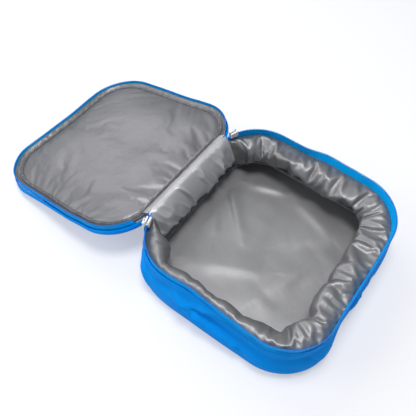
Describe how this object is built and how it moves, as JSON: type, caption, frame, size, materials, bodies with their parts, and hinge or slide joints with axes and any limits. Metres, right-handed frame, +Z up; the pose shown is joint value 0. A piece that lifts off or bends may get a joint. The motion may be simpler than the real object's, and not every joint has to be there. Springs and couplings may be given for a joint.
{
  "type": "lunch box",
  "caption": "Soft-sided insulated lunch box with a zip-round lid folded open, silver film lining, zip sliders with pull tabs, and a webbing carry handle.",
  "frame": {"origin": "on the table under the middle of the body's base", "axes": "+X along the hinge, +Y from the front of the body to the hinge and the open lid, +Z up"},
  "size_m": [0.25, 0.472, 0.0706],
  "materials": {
    "blue_fabric": "matte",
    "zip_tape": "matte",
    "zip_coil": "satin",
    "foam": "matte",
    "silver_film": "satin",
    "grey_binding": "satin",
    "webbing": "matte",
    "white_enamel": "gloss"
  },
  "bodies": {
    "body": {"bottom_panel": "blue_fabric", "side_gusset": "blue_fabric", "back_panel": "blue_fabric", "base_foam": "foam", "wall_foam": "foam", "back_foam": "foam", "base_lining": "silver_film", "wall_lining": "silver_film", "base_seam_binding": "grey_binding", "body_zip_tape": "zip_tape", "body_zip_chain": "zip_coil", "zip_end_stops": "zip_coil", "hinge_strip": "blue_fabric", "hinge_lining": "silver_film"},
    "lid": {"lid_panel": "blue_fabric", "lid_gusset": "blue_fabric", "lid_hinge_band": "blue_fabric", "lid_foam": "foam", "lid_lining": "silver_film", "lid_side_lining": "silver_film", "lid_binding": "grey_binding", "lid_zip_tape": "zip_tape", "lid_zip_chain": "zip_coil", "carry_handle": "webbing"},
    "far_slider": {"far_slider": "white_enamel"},
    "near_slider": {"near_slider": "white_enamel"},
    "far_pull": {"far_pull_tab": "white_enamel"},
    "near_pull": {"near_pull_tab": "white_enamel"}
  },
  "joints": [
    {"name": "lid_hinge", "type": "hinge", "parent": "body", "child": "lid", "pos_m": [0, 0.121, 0.066], "axis": [1, 0, 0], "range_deg": [0, 192.16], "deforming": ["hinge_strip", "hinge_lining"]},
    {"name": "far_slider_run", "type": "hinge", "parent": "body", "child": "far_slider", "pos_m": [0.067, 0.06, 0.066], "axis": [0, 0, -1], "range_deg": [0, 70]},
    {"name": "near_slider_run", "type": "hinge", "parent": "body", "child": "near_slider", "pos_m": [-0.067, 0.06, 0.066], "axis": [0, 0, 1], "range_deg": [0, 70]},
    {"name": "far_pull_swing", "type": "hinge", "parent": "far_slider", "child": "far_pull", "pos_m": [0.08988, 0.11592, 0.066], "axis": [-0.3338, -0.9426, 0], "range_deg": [0, 85]},
    {"name": "near_pull_swing", "type": "hinge", "parent": "near_slider", "child": "near_pull", "pos_m": [-0.08988, 0.11592, 0.066], "axis": [-0.3338, 0.9426, 0], "range_deg": [0, 85]}
  ]
}
